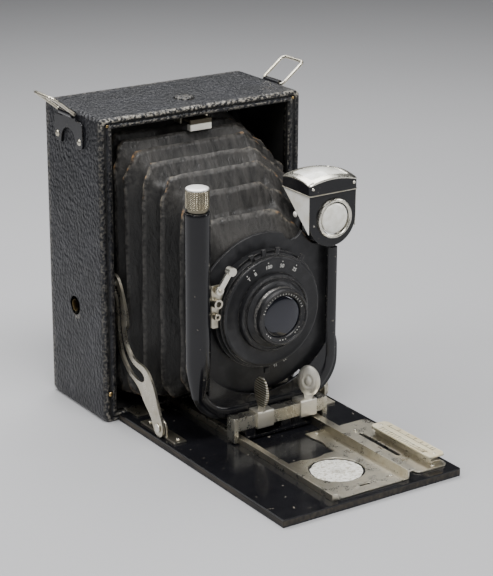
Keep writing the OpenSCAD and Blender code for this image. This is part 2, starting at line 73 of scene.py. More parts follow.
class Surface:
    """A Principled material with short ways to add procedural nodes."""

    def __init__(self, name, **values):
        self.material = bpy.data.materials.new(name)
        self.material.use_nodes = True
        self.tree = self.material.node_tree
        self.shader = self.tree.nodes["Principled BSDF"]
        self.coords = self.node("TexCoord").outputs["Object"]
        for socket, value in values.items():
            self.put(socket.replace("_", " "), value)

    def node(self, kind, inputs=None, **settings):
        made = configure(self.tree.nodes.new("ShaderNode" + kind), **settings)
        for key, value in (inputs or {}).items():
            self.plug(made.inputs[key], value)
        return made

    def plug(self, socket, value):
        if isinstance(value, bpy.types.NodeSocket):
            self.tree.links.new(value, socket)
        else:
            socket.default_value = value

    def put(self, name, value):
        self.plug(self.shader.inputs[name], value)

    def colour(self, factor, a, b):
        self.put("Base Color", self.mix(factor, a, b))

    def roughness(self, value, low, high):
        self.put("Roughness", self.ramp(value, 0.3, 0.7, low, high))

    def grain(self, size_mm, detail, depth_mm):
        """Fine unevenness all over the surface."""
        self.put("Normal", self.bump(self.noise(size_mm, detail), depth_mm))

    def stretched(self, x, y, z):
        """The object's own coordinates, scaled apart along each axis."""
        return self.node("Mapping", {"Vector": self.coords, "Scale": (x, y, z)}).outputs[0]

    def height(self):
        return self.node("SeparateXYZ", {0: self.coords}).outputs["Z"]

    def noise(self, size_mm, detail=3, coords=None, distortion=0.0):
        return self.node("TexNoise", {
            "Vector": coords or self.coords, "Scale": 1 / (size_mm * MM), "Detail": detail,
            "Distortion": distortion}).outputs[0]

    def cells(self, size_mm, coords):
        return self.node("TexVoronoi", {"Vector": coords, "Scale": 1 / (size_mm * MM)},
                         feature="SMOOTH_F1").outputs["Distance"]

    def ramp(self, value, low, high, to_low=0.0, to_high=1.0):
        return self.node("MapRange", {
            "Value": value, "From Min": low, "From Max": high, "To Min": to_low, "To Max": to_high},
            clamp=True).outputs[0]

    def maths(self, operation, a, b):
        return self.node("Math", {0: a, 1: b}, operation=operation).outputs[0]

    def mix(self, factor, a, b):
        """Colour a where factor is 0, colour b where it is 1."""
        return self.node("Mix", {0: factor, 6: a, 7: b}, data_type="RGBA").outputs[2]

    def attribute(self, name):
        return self.node("Attribute", attribute_name=name).outputs["Fac"]

    def bump(self, height, depth_mm, normal=None):
        inputs = {"Height": height, "Distance": depth_mm * MM, "Strength": 1.0}
        if normal:
            inputs["Normal"] = normal
        return self.node("Bump", inputs).outputs[0]

    def edges(self, radius_mm):
        """1 along sharp edges, where handling wears a finish, and 0 on flat faces."""
        rounded = self.node("Bevel", {"Radius": radius_mm * MM}, samples=4).outputs[0]
        flat = self.node("NewGeometry").outputs["Normal"]
        dot = self.node("VectorMath", {0: rounded, 1: flat}, operation="DOT_PRODUCT")
        return self.ramp(dot.outputs["Value"], 0.98, 0.8)


def rgb(r, g, b):
    return (r, g, b, 1.0)


def pebbled_leather(name):
    """Black pebbled leather. The mesh's attribute says where it is rubbed through to tan; along the top of the front
    rim that pale rubbing is partly wear and partly a painted highlight.
    """
    s = Surface(name, Specular_IOR_Level=0.36)
    spread = s.stretched(1, 0.85, 0.66)
    pebble = s.ramp(s.cells(1.15, spread), 0.05, 0.7, 1, 0)
    height = s.maths("ADD", pebble, s.maths("MULTIPLY", s.noise(0.8, 4, coords=spread), 0.7))
    dark = s.mix(s.ramp(s.noise(14, 4), 0.35, 0.7), rgb(0.006, 0.0064, 0.008), rgb(0.013, 0.0135, 0.017))
    scuffed = s.mix(s.ramp(s.noise(0.9, 5), 0.60, 0.74, 0, 0.4), dark, rgb(0.085, 0.085, 0.09))
    rub = s.node("VectorMath", {0: s.coords, 1: tuple(at(-52.5, 24.5, 45.5))}, operation="DISTANCE")
    patch = s.ramp(rub.outputs["Value"], 1.5 * MM, 4 * MM, 0.55, 0)
    bare = s.maths("MULTIPLY", s.maths("MAXIMUM", s.attribute("worn"), patch), s.ramp(s.noise(1.2, 6), 0.46, 0.60))
    s.colour(bare, scuffed, s.mix(s.noise(2.2, 3), rgb(0.22, 0.19, 0.145), rgb(0.56, 0.53, 0.46)))
    s.roughness(s.noise(5, 3), 0.28, 0.42)
    s.put("Normal", s.bump(height, 0.45))
    return s.material


def bellows_cloth():
    """Thin leathercloth, grey-black, with pale ridges, rubbed through to tan and orange at the corners, with painted
    shade darkening the sides and underside of the folds.
    """
    s = Surface("bellows_cloth", Specular_IOR_Level=0.4)
    streak = s.noise(2.6, 4, coords=s.stretched(1, 0.22, 0.3))
    crease = s.noise(1.1, 5, coords=s.stretched(1, 0.35, 0.5), distortion=0.6)
    base = s.mix(s.ramp(streak, 0.35, 0.68), rgb(0.012, 0.0115, 0.011), rgb(0.046, 0.043, 0.040))
    base = s.mix(s.ramp(s.noise(16, 4), 0.42, 0.66, 0, 0.5), base, rgb(0.062, 0.058, 0.053))
    # Painted shade: away from the lit top, on the sides and underside, the cloth is darkened most of the way to black.
    base = s.mix(s.attribute("dusty"), s.mix(0.72, base, rgb(0.004, 0.004, 0.004)), base)
    worn = s.attribute("worn")
    rub = s.maths("MULTIPLY", worn, s.ramp(s.noise(1.8, 6), 0.38, 0.6))
    tan = s.mix(s.ramp(s.noise(4.5, 3), 0.54, 0.68), rgb(0.15, 0.13, 0.10), rgb(0.40, 0.22, 0.09))
    s.colour(rub, base, s.mix(s.ramp(worn, 0.45, 0.8), rgb(0.16, 0.15, 0.135), tan))
    s.roughness(streak, 0.40, 0.58)
    s.put("Normal", s.bump(crease, 0.34, s.bump(streak, 0.6)))
    return s.material


def nickel(name, tone=(0.66, 0.62, 0.52), stain=0.5, rough=(0.22, 0.42), ribs_above=None):
    """Aged nickel plate with warm stains and fine wipe marks; above a height, in mm, dark stripes of painted shade mark
    the grooves.
    """
    s = Surface(name, Metallic=1.0)
    patch = s.noise(5, 5)
    speck = s.noise(0.7, 4)
    if ribs_above:
        # Painted shade in the grooves between the ribs of the thumb plate.
        wave = s.maths("SINE", s.maths("MULTIPLY", s.height(), 2 * math.pi / (RIB_PITCH * MM)), 0)
        ribbed = s.ramp(s.height(), ribs_above * MM, (ribs_above + 0.2) * MM)
        s.colour(s.maths("MULTIPLY", s.ramp(wave, -0.5, 0.4), ribbed), rgb(*tone), rgb(0.22, 0.19, 0.12))
    else:
        stained = s.mix(s.ramp(patch, 0.42, 0.72, 0, stain), rgb(*tone), rgb(0.40, 0.34, 0.22))
        s.colour(s.ramp(speck, 0.60, 0.90, 0, 0.25), stained, rgb(0.16, 0.125, 0.075))
    s.put("Roughness", s.ramp(s.maths("ADD", patch, s.maths("MULTIPLY", speck, 0.5)), 0.5, 1.0, *rough))
    s.put("Normal", s.bump(s.noise(0.5, 3), 0.010, s.bump(s.noise(4, 2), 0.02)))
    return s.material


def black_enamel(name, rough=0.13, chip=0.5, edge_mm=0.35):
    """Glossy black enamel over metal, chipped along its edges and spotted with small dents."""
    s = Surface(name, Coat_Weight=0.2, Coat_Roughness=0.06, Specular_IOR_Level=0.36)
    edge = s.maths("MULTIPLY", s.edges(edge_mm), s.ramp(s.noise(1.5, 5), 0.66 - 0.3 * chip, 0.78 - 0.3 * chip))
    pits = s.maths("MULTIPLY", s.ramp(s.noise(2.4, 6), 0.69, 0.73), 0.35 + 0.3 * chip)
    bare = s.maths("MAXIMUM", edge, pits)
    black = s.mix(s.noise(9, 3), rgb(0.004, 0.004, 0.005), rgb(0.009, 0.009, 0.011))
    s.colour(bare, black, rgb(0.42, 0.38, 0.31))
    s.put("Metallic", s.ramp(edge, 0, 1, 0, 0.9))
    s.put("Roughness", s.maths("ADD", s.ramp(s.noise(6, 4), 0.3, 0.75, rough, rough + 0.14),
                               s.maths("MULTIPLY", bare, 0.25)))
    s.grain(2.8, 3, 0.035)
    return s.material


def satin_black(name, rough=(0.32, 0.46), worn_edge=0.8):
    """Satin black of the shutter and lens board, with thin bright edges."""
    s = Surface(name)
    edge = s.maths("MULTIPLY", s.edges(0.25), s.ramp(s.noise(1.2, 4), 0.40, 0.58, 0, worn_edge))
    # Random lighter patches of dust.
    dust = s.ramp(s.noise(3.5, 6), 0.45, 0.75, 0, 0.5)
    body = s.mix(dust, rgb(0.012, 0.012, 0.0135), rgb(0.036, 0.0355, 0.037))
    s.colour(edge, body, rgb(0.46, 0.43, 0.38))
    s.put("Metallic", s.ramp(edge, 0, 1, 0.1, 0.9))
    s.roughness(s.noise(4, 4), *rough)
    s.grain(0.45, 3, 0.02)
    return s.material


def blade_black(name):
    """Blued spring steel of the shutter blades, smooth and almost black."""
    s = Surface(name, Metallic=0.3, Roughness=0.3)
    s.colour(s.noise(12, 2), rgb(0.012, 0.013, 0.017), rgb(0.030, 0.031, 0.036))
    return s.material


def ivory(name):
    """Old ivory-coloured scale material, yellowed in patches."""
    s = Surface(name, Roughness=0.34, Subsurface_Weight=0.08)
    yellowed = s.ramp(s.noise(4, 4, coords=s.stretched(1, 0.4, 1)), 0.35, 0.7)
    s.colour(yellowed, rgb(0.80, 0.72, 0.52), rgb(0.62, 0.50, 0.30))
    s.grain(0.9, 3, 0.02)
    return s.material


def brass(name, shade):
    """Dulled brass; a lower shade is darker and browner."""
    s = Surface(name, Metallic=1.0)
    s.colour(s.ramp(s.noise(1.6, 5), 0.4, 0.65), rgb(0.60 * shade, 0.43 * shade, 0.19 * shade),
             rgb(0.24 * shade, 0.16 * shade, 0.08 * shade))
    s.roughness(s.noise(2, 4), 0.3, 0.55)
    s.grain(0.6, 3, 0.03)
    return s.material


def plain_steel(name, shade=0.5):
    """Bare steel with fine marks along its length."""
    s = Surface(name, Metallic=1.0)
    s.colour(s.noise(3, 4), rgb(shade, shade, shade * 0.97), rgb(shade * 0.6, shade * 0.58, shade * 0.55))
    s.roughness(s.noise(1.5, 4), 0.25, 0.45)
    s.put("Normal", s.bump(s.noise(0.5, 2, coords=s.stretched(1, 0.1, 1)), 0.01))
    return s.material


def corroded_metal(name):
    """Whitish flaking metal of the tripod bush."""
    s = Surface(name)
    flake = s.noise(1.3, 6, distortion=0.8)
    s.colour(s.ramp(flake, 0.46, 0.66), rgb(0.90, 0.885, 0.83), rgb(0.52, 0.48, 0.38))
    s.put("Metallic", s.ramp(flake, 0.4, 0.6, 0.05, 0.5))
    s.roughness(flake, 0.42, 0.75)
    s.put("Normal", s.bump(flake, 0.35))
    return s.material


def stained_wood(name, dark, light):
    """Wood stained dark, its grain running from front to back."""
    s = Surface(name, Roughness=0.72)
    grain = s.noise(1.4, 6, coords=s.stretched(1, 0.08, 0.5), distortion=0.4)
    s.colour(s.ramp(grain, 0.35, 0.7), dark, light)
    s.put("Normal", s.bump(grain, 0.08))
    return s.material


def clear_glass(name, tint):
    """Lens glass with a faint violet bloom; its base colour is near black, a painted shade for the dark camera behind
    it.
    """
    # Painted shade: the tint passed in is near black.
    s = Surface(name, Base_Color=tint, Transmission_Weight=0.5, IOR=1.52, Roughness=0.02, Coat_Weight=0.3)
    s.put("Coat Tint", s.mix(s.noise(9, 2), rgb(0.75, 0.82, 1.0), rgb(0.86, 0.80, 0.98)))
    return s.material


def painted_bright_glass(name):
    """Finder glass over its mirror, coloured pale and bright as a painted reflection of the view in the mirror, with
    faint cloudy patches.
    """
    s = Surface(name, Coat_Weight=0.8, Coat_Roughness=0.04)
    # Painted reflection: the glass's base colour is near white.
    s.colour(s.ramp(s.noise(3.2, 4), 0.40, 0.75), rgb(0.95, 0.94, 0.88), rgb(0.74, 0.72, 0.62))
    s.roughness(s.noise(4, 3), 0.14, 0.3)
    return s.material


def cream_plate(name):
    """Pale plated sheet on the finder's cheeks, smooth with faint yellow staining."""
    s = Surface(name, Metallic=0.15)
    s.colour(s.ramp(s.noise(6, 4), 0.42, 0.75), rgb(0.97, 0.955, 0.90), rgb(0.80, 0.75, 0.62))
    s.roughness(s.noise(3, 4), 0.34, 0.5)
    s.grain(0.6, 3, 0.015)
    return s.material


def latch_plate(name):
    """The latch: its lower lip is polished bright, the arm above it browned."""
    s = Surface(name, Metallic=0.6)
    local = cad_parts["latch"].matrix_world.inverted()
    lip = s.ramp(s.height(), (local @ at(0, 0, 131.0)).z, (local @ at(0, 0, 131.4)).z)
    bright = s.mix(s.noise(2, 3), rgb(0.96, 0.95, 0.89), rgb(0.82, 0.79, 0.68))
    s.colour(lip, bright, rgb(0.060, 0.050, 0.032))
    s.roughness(s.noise(2, 3), 0.38, 0.5)
    return s.material


def frosted_glass(name):
    """The focusing screen's ground glass."""
    s = Surface(name, Transmission_Weight=0.85, IOR=1.5)
    s.colour(s.noise(8, 4), rgb(0.80, 0.84, 0.82), rgb(0.70, 0.75, 0.73))
    s.roughness(s.noise(2, 4), 0.42, 0.58)
    s.grain(0.12, 2, 0.01)
    return s.material


def engraved_white(name):
    """White filling of engraved figures, dirty in places."""
    s = Surface(name, Roughness=0.6)
    s.colour(s.ramp(s.noise(0.6, 3), 0.45, 0.7), rgb(0.80, 0.79, 0.74), rgb(0.42, 0.41, 0.38))
    return s.material


def studio_floor(name):
    """Pale grey paper."""
    s = Surface(name, Roughness=0.62)
    s.colour(s.noise(220, 2), rgb(0.43, 0.43, 0.44), rgb(0.47, 0.47, 0.48))
    return s.material


LEATHER = pebbled_leather("pebbled_leather")
CLOTH = bellows_cloth()
NICKEL = nickel("aged_nickel")
BRIGHT_NICKEL = nickel("bright_nickel", (0.88, 0.85, 0.75), 0.15, (0.20, 0.36))
TAB_NICKEL = nickel("tab_nickel", (0.93, 0.90, 0.81), 0.15, (0.36, 0.50))
RIBBED_NICKEL = nickel("ribbed_nickel", (0.88, 0.84, 0.74), 0.15, (0.36, 0.50), ribs_above=18.6)
KNURLED_NICKEL = nickel("knurled_nickel", (0.26, 0.235, 0.18), 0.35, (0.30, 0.42))
WIPED_NICKEL = nickel("wiped_nickel", (0.93, 0.92, 0.88), 0.08, (0.42, 0.55))
CHEEK = cream_plate("cream_plate")
LATCH = latch_plate("latch_plate")
ENAMEL = black_enamel("black_enamel")
BED_ENAMEL = black_enamel("bed_enamel", rough=0.12, chip=0.35, edge_mm=0.3)
SATIN = satin_black("satin_black")
MATTE = satin_black("matte_black", rough=(0.6, 0.8), worn_edge=0.15)
IVORY = ivory("ivory_scale")
BRASS = brass("aged_brass", 1.0)
DULL_BRASS = brass("dull_brass", 0.35)
STEEL = plain_steel("plain_steel")
DARK_STEEL = plain_steel("dark_steel", shade=0.05)
BLADE = blade_black("blade_black")
CORRODED = corroded_metal("corroded_metal")
CASE_WOOD = stained_wood("case_wood", rgb(0.003, 0.003, 0.003), rgb(0.008, 0.007, 0.006))
BED_WOOD = stained_wood("bed_wood", rgb(0.010, 0.009, 0.008), rgb(0.060, 0.047, 0.034))
LENS_GLASS = clear_glass("lens_glass", rgb(0.020, 0.022, 0.030))
FINDER_GLASS = painted_bright_glass("finder_glass")
FROSTED = frosted_glass("ground_glass")
WHITE = engraved_white("engraved_white")


# ---------------------------------------------------------------- mesh helpers


def linked(name, data):
    made = bpy.data.objects.new(name, data)
    bpy.context.scene.collection.objects.link(made)
    return made


def modify(made, kind, **settings):
    configure(made.modifiers.new(kind.lower(), kind), **settings)


def add_object(name, mesh, body, material, replaces=()):
    made = linked(name, mesh)
    mesh.materials.append(material)
    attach(made, body)
    if replaces:
        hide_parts(*replaces)
    return made


def new_mesh(name, points, faces, smooth_angle=35):
    """A clean mesh with outward normals, smooth except across edges sharper than the angle."""
    mesh = bpy.data.meshes.new(name)
    mesh.from_pydata([tuple(p) for p in points], [], faces)
    work = bmesh.new()
    work.from_mesh(mesh)
    bmesh.ops.remove_doubles(work, verts=work.verts, dist=1e-7)
    bmesh.ops.recalc_face_normals(work, faces=work.faces)
    for face in work.faces:
        face.smooth = True
    for edge in work.edges:
        sharp = len(edge.link_faces) == 2 and edge.calc_face_angle(0) > math.radians(smooth_angle)
        edge.smooth = not sharp
    work.to_mesh(mesh)
    work.free()
    return mesh


def grid_faces(rows, columns, first=0, wrap_columns=True, wrap_rows=False):
    """Quads between neighbouring rows of points, each row columns long."""
    faces = []
    for i in range(rows if wrap_rows else rows - 1):
        for j in range(columns if wrap_columns else columns - 1):
            a, b = i * columns, (i + 1) % rows * columns
            k = (j + 1) % columns
            faces.append((first + a + j, first + a + k, first + b + k, first + b + j))
    return faces


def join_parts(parts):
    """One list of points and one of faces from several (points, faces) pairs."""
    points, faces = [], []
    for part_points, part_faces in parts:
        start = len(points)
        points += list(part_points)
        faces += [tuple(start + i for i in face) for face in part_faces]
    return points, faces


def stack(rows, closed=False, caps=()):
    """Points and faces through rows of points of one length; caps lists the rows that a face closes."""
    sides = len(rows[0])
    faces = grid_faces(len(rows), sides, wrap_rows=closed)
    faces += [tuple(range(i * sides, (i + 1) * sides)) for i in caps]
    return [p for row in rows for p in row], faces


def turn_steps(count):
    """The angles of one full turn in even steps."""
    return [2 * math.pi * k / count for k in range(count)]


def ring(x, y, z, radius, sides):
    """Points round a vertical line."""
    return [at(x + radius * math.cos(a), y + radius * math.sin(a), z) for a in turn_steps(sides)]


def mirrored(part, s):
    """The part itself where s is 1, its mirror image across the lens axis where s is -1."""
    return [Vector((s * p.x, p.y, p.z)) for p in part[0]], part[1]


def turned(profile, x=0.0, z=LENS_Z, steps=96, closed=True):
    """Points and faces of a profile [(radius, y)] turned about a line along y through (x, z)."""
    return stack([[at(x + radius * math.sin(a), y, z + radius * math.cos(a)) for a in turn_steps(steps)]
                  for radius, y in profile], closed)


def arc_points(centre, radius, start, end, count):
    """Points on an arc in the plane of two coordinates; angles in degrees from the first axis."""
    angles = [math.radians(start + (end - start) * i / (count - 1)) for i in range(count)]
    return [(centre[0] + radius * math.cos(a), centre[1] + radius * math.sin(a)) for a in angles]


def rounded_rect(x0, x1, z0, z1, radius, per_corner=6, per_side=1):
    """Outline of a rectangle with round corners, anticlockwise from the lower right corner's start."""
    r = max(radius, 0.02)
    corners = [((x1 - r, z0 + r), -90), ((x1 - r, z1 - r), 0), ((x0 + r, z1 - r), 90), ((x0 + r, z0 + r), 180)]
    arcs = [arc_points(centre, r, start, start + 90, per_corner) for centre, start in corners]
    outline = []
    for i, arc in enumerate(arcs):
        (u0, v0), (u1, v1) = arc[-1], arcs[(i + 1) % 4][0]
        outline += arc
        outline += [(u0 + (u1 - u0) * k / per_side, v0 + (v1 - v0) * k / per_side) for k in range(1, per_side)]
    return outline


def slab_part(outline, place, low, high, edge=0.0):
    """Points and faces of a flat outline made solid between low and high, its rims eased by edge."""
    cx, cy = (sum(values) / len(outline) for values in zip(*outline))

    def row(level, inset):
        made = []
        for u, v in outline:
            d = math.hypot(u - cx, v - cy) or 1
            made.append(place(u - (u - cx) / d * inset, v - (v - cy) / d * inset, level))
        return made

    levels = [(low, edge), (low + edge, 0), (high - edge, 0), (high, edge)] if edge else [(low, 0), (high, 0)]
    return stack([row(level, inset) for level, inset in levels], caps=(0, len(levels) - 1))


def tube_part(path, radius, sides=12):
    """A round tube along a closed path of points in the drawing's millimetres."""
    line = [at(*p) for p in path]
    side = (line[1] - line[-1]).normalized().orthogonal().normalized()
    rows = []
    for i, centre in enumerate(line):
        along = (line[(i + 1) % len(line)] - line[i - 1]).normalized()
        side = (side - along * side.dot(along)).normalized()
        other = along.cross(side)
        rows.append([centre + (side * math.cos(a) + other * math.sin(a)) * radius * MM for a in turn_steps(sides)])
    return stack(rows, closed=True)


def dome_part(x, y, z, radius, height, normal="y", sides=20, rings=5):
    """A low round rivet head on a plane; it stands out towards -normal for y, +normal for x and z."""
    rows = []
    for i in range(rings):
        t = i / (rings - 1) * math.pi / 2
        r, w = radius * math.cos(t), height * math.sin(t)
        flat = [(r * math.cos(a), r * math.sin(a)) for a in turn_steps(sides)]
        rows.append([{"y": at(x + u, y - w, z + v), "z": at(x + u, y + v, z + w),
                      "x": at(x + w, y + u, z + v)}[normal] for u, v in flat])
    return stack(rows, caps=(0,))


def build(name, parts, body, material, replaces=(), smooth_angle=35):
    points, faces = join_parts(parts)
    return add_object(name, new_mesh(name, points, faces, smooth_angle), body, material, replaces)


def value_noise(point, size_mm, seed=0.0):
    """Smooth noise from -1 to 1 at a point in metres."""
    return noise.noise(Vector(point) / (size_mm * MM) + Vector((seed, seed * 0.7, -seed)))


def set_attribute(mesh, name, values):
    layer = mesh.attributes.new(name, "FLOAT", "POINT")
    layer.data.foreach_set("value", values)


def add_sheet(name, part, body, material, slot, replaces, thick_mm, **attributes):
    """A smooth sheet, to be made thick on its inner side, with values at its points."""
    mesh = bpy.data.meshes.new(name)
    mesh.from_pydata([tuple(p) for p in part[0]], [], part[1])
    for attribute, values in attributes.items():
        set_attribute(mesh, attribute, values)
    mesh.polygons.foreach_set("use_smooth", [True] * len(mesh.polygons))
    made = add_object(name, mesh, body, material, replaces)
    modify(made, "SOLIDIFY", thickness=thick_mm * MM, offset=-1)
    return made


def cutter(name, matrix, make, **size):
    """A solid that bake() cuts away."""
    work = bmesh.new()
    make(work, matrix=matrix, **size)
    mesh = bpy.data.meshes.new(name)
    work.to_mesh(mesh)
    work.free()
    return linked(name, mesh)


def round_cutter(name, centre, turn, radius):
    """A short upright cylinder, turned about y."""
    matrix = Matrix.Translation(centre) @ Matrix.Rotation(math.radians(turn), 4, "Y")
    return cutter(name, matrix, bmesh.ops.create_cone, cap_ends=True, segments=32, radius1=radius * MM,
                  radius2=radius * MM, depth=4 * MM)


def bake(made, *cutters):
    """Cuts the cutters out of the object and bakes its modifiers into its mesh."""
    for solid in cutters:
        modify(made, "BOOLEAN", object=solid, solver="EXACT")
    made.data = bpy.data.meshes.new_from_object(made.evaluated_get(bpy.context.evaluated_depsgraph_get()))
    made.modifiers.clear()
    for solid in cutters:
        bpy.data.objects.remove(solid)


def finish_node(name, material, bevel_mm):
    """Gives a carried CAD node its material, and eases its edges without touching its mesh."""
    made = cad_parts[name]
    made.data.materials.clear()
    made.data.materials.append(material)
    made.data.polygons.foreach_set("material_index", [0] * len(made.data.polygons))
    modify(made, "WELD", merge_threshold=1e-6)
    modify(made, "DECIMATE", decimate_type="DISSOLVE", angle_limit=math.radians(0.6))
    modify(made, "BEVEL", width=bevel_mm * MM, segments=2, limit_method="ANGLE", angle_limit=math.radians(35))
    modify(made, "WEIGHTED_NORMAL", keep_sharp=False, weight=90)


# ---------------------------------------------------------------- case

CASE_LOW, CASE_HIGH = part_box("leather_sides")
CASE_X = CASE_HIGH.x / MM
CASE_D = (CASE_HIGH.y - CASE_LOW.y) / MM
CASE_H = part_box("leather_ends")[1].z / MM
OPEN_X, OPEN_LOW, OPEN_HIGH = 46.0, 3.9, CASE_H - 4.7
CASE_EDGE = 2.7
BUTTON_Y = 15.5


def case_outline(inset):
    """The case's front outline at inset 0, the opening's at inset 1."""
    return rounded_rect(
        -CASE_X + (CASE_X - OPEN_X) * inset, CASE_X - (CASE_X - OPEN_X) * inset,
        OPEN_LOW * inset, CASE_H + (OPEN_HIGH - CASE_H) * inset,
        CASE_EDGE * (1 - inset) + 0.3 * inset, per_corner=7, per_side=40)


def cover_wear(x, y, z, inset):
    """How far the leather is rubbed at a point: most on the front rim near the top, where the pale rubbing is partly
    wear and partly a painted highlight, then at the corners.
    """
    corner = max(0.0, 1 - math.hypot(CASE_X - abs(x), min(z, CASE_H - z)) / 9)
    low, high = max(0.0, 1 - z / 30), max(0.0, 1 - (CASE_H - z) / 6)
    ridge, inner = float(y < 0.2), float(inset > 0.93)
    back_edge = float(inset < 0.1 and y > CASE_D - 1.6)
    edge = float(0.0 < inset < 0.2 and y < 1.3)
    # The high terms raise the pale rubbing on the ridge and outer edge near the top of the rim: partly wear, partly a
    # painted highlight.
    return min(1.0, max(
        (0.12 + 0.75 * high + 0.25 * low) * ridge, 0.7 * high * edge,
        0.5 * corner * (ridge + edge + back_edge), 0.5 * inner, 0.3 * back_edge, 0.22 * edge))


def leather_cover():
    """The covering from the back edge, along the sides, round the moulded front rim and in."""
    back = [(0.55, CASE_D + 0.05), (0.16, CASE_D + 0.05), (0.04, CASE_D - 0.3), (0.0, CASE_D - 1.4)]
    sides = [(0.0, CASE_D - 1.4 - (CASE_D - 4.2) * i / 16) for i in range(1, 17)]
    rim = [(0.0, 2.0), (0.03, 1.15), (0.09, 0.5), (0.17, 0.12), (0.26, 0.0), (0.35, 0.12), (0.43, 0.55),
           (0.49, 1.0), (0.53, 1.05), (0.58, 0.8), (0.63, 0.3), (0.70, 0.04), (0.78, 0.0), (0.87, 0.14),
           (0.94, 0.55), (0.985, 1.2), (1.0, 2.4), (1.0, 4.0)]
    profile = back + sides + rim
    rows = [[at(x, y, z) for x, z in case_outline(inset)] for inset, y in profile]
    worn = [cover_wear(x, y, z, inset) for inset, y in profile for x, z in case_outline(inset)]
    made = add_sheet("leather_cover", stack(rows), "case", LEATHER, "leather", ("leather_sides", "leather_ends"),
                     0.45, worn=worn)
    bake(made, round_cutter("side_hole", at(-CASE_X, 25.5, 49), 90, 2.7),
         round_cutter("button_hole", at(0, BUTTON_Y, CASE_H), 0, 4.65))


def button_cap():
    """The release button under its patch of leather, worn smooth."""
    profile = [(0.01, 1.02), (1.5, 0.95), (2.8, 0.7), (3.7, 0.3), (4.2, -0.1), (4.35, -0.6), (4.35, -1.4)]
    rows = [ring(0, BUTTON_Y, CASE_H + 0.55 + height * 0.8, radius, 40) for radius, height in profile]
    made = build("button_cap", [stack(rows, caps=(0, 6))], "button", LEATHER, ("release_button",))
    set_attribute(made.data, "worn", [0.25] * len(made.data.vertices))


def corner_nails():
    """Brass nail heads in the corners of the front rim."""
    parts = []
    for x, z, size in ((49.4, 13.5, 1.15), (48.4, 136.9, 0.7)):
        parts += [dome_part(s * x, 0.2, z, size, 0.55 * size) for s in (-1, 1)]
    build("nail_heads", parts, "case", BRASS, ("corner_nails",))


def lug_rivets():
    """Rivet heads on both strap lugs."""
    parts = [mirrored(dome_part(CASE_X + 1, y, 127, 1.5, 0.7, "x"), s) for s in (-1, 1) for y in (16.2, 35.8)]
    build("lug_rivet_heads", parts, "case", NICKEL, ("lug_rivets",))


def strap_rings():
    """Wire loops with bent corners, lifted from the side as they lie at rest."""
    lift, reach = math.radians(38), 15
    foot_x, foot_y, foot_z = 54.2, 25, 138.8
    for name, s in (("left", -1), ("right", 1)):
        path = []
        for u, v in rounded_rect(0, reach, -8, 8, 2.2, per_corner=8):
            bow = 0.35 * math.sin(u / reach * math.pi)
            path.append((s * (foot_x + u * math.cos(lift) - bow), foot_y + v, foot_z + u * math.sin(lift) + bow))
        build("wire_ring_" + name, [tube_part(path, 0.78)], "ring_" + name, NICKEL, ("strap_ring_" + name,))


# ---------------------------------------------------------------- bellows

# Height of the top, half width, height of the bottom and depth of the folds, as knots (y, value)
BELLOWS_TOP = [(-46.2, 93), (-40, 99.5), (-31, 108), (-20, 115), (-5, 120.7), (5, 124.6), (16, 127), (38.6, 128.5)]
BELLOWS_HALF = [(-46.2, 26), (-30, 28.8), (-20, 33.2), (-10, 36.4), (-3, 38.4), (3, 39), (11, 39.3), (20, 42),
                (38.6, 42.4)]
BELLOWS_LOW = [(-46.2, 27), (-20, 16.5), (2, 9.6), (38.6, 9)]
BELLOWS_DEPTH = [(-46.2, 3.4), (2, 3.2), (38.6, 2.9)]
# How far each ridge's corner is cut back, before and after it round the ring from the lower right
CORNER_CUTS = ((8, 8), (19, 22), (5, 13), (8, 8))
BELLOWS_FRONT, SPLIT_Y, BELLOWS_BACK = -45.9, 2.0, 38.4
FOLD_ROWS = 10


def along(knots, y):
    """Straight line between the knots."""
    for (y0, v0), (y1, v1) in zip(knots, knots[1:]):
        if y <= y1:
            return v0 + (v1 - v0) * max(0.0, (y - y0)) / (y1 - y0)
    return knots[-1][1]


def fold_rows(start, end, ridges):
    """(y, half width, low, top, nearness to the ridge) of the rows through the folds."""
    rows = []
    for i in range(ridges * FOLD_ROWS + 1):
        y = start + (end - start) * i / (ridges * FOLD_ROWS)
        sharp = abs((i / FOLD_ROWS % 1.0) * 2 - 1) ** 0.85
        out = along(BELLOWS_DEPTH, y) * (1 - 2 * sharp)
        rows.append((y, along(BELLOWS_HALF, y) + out, along(BELLOWS_LOW, y) - out * 0.6,
                     along(BELLOWS_TOP, y) + out, 1 - sharp))
    return rows


def corner_ring(half, low, top, crest):
    """(x, z, nearness to a corner, share of the lit top) round one fold line, its corners cut back most on the ridges;
    the lit top is 1 on the top side and 0 on the others, which the cloth's painted shade darkens.
    """
    outline = []
    corners = [Vector(c) for c in ((half, low), (half, top), (-half, top), (-half, low))]
    cuts = [tuple(3 + (cut - 3) * (0.35 + 0.65 * crest) for cut in pair) for pair in CORNER_CUTS]
    for i, corner in enumerate(corners):
        side = corners[(i + 1) % 4] - corner
        onward, back = side.normalized(), (corners[i - 1] - corner).normalized()
        before, after = cuts[i]
        stop = cuts[(i + 1) % 4][0]
        for k in range(10):
            t = k / 10
            bow = 0.8 * math.sin(t * math.pi)
            p = corner + back * (before * (1 - t) - bow) + onward * (after * t - bow)
            outline.append((p.x, p.y, 1.0, {1: t, 2: 1 - t}.get(i, 0.0)))
        for k in range(30):
            d = after + (side.length - after - stop) * k / 30
            near = max(0.0, 1 - min(d - after, side.length - stop - d) / 11)
            p = corner + onward * d
            outline.append((p.x, p.y, near * near, 1.0 if i == 1 else 0.0))
    return outline


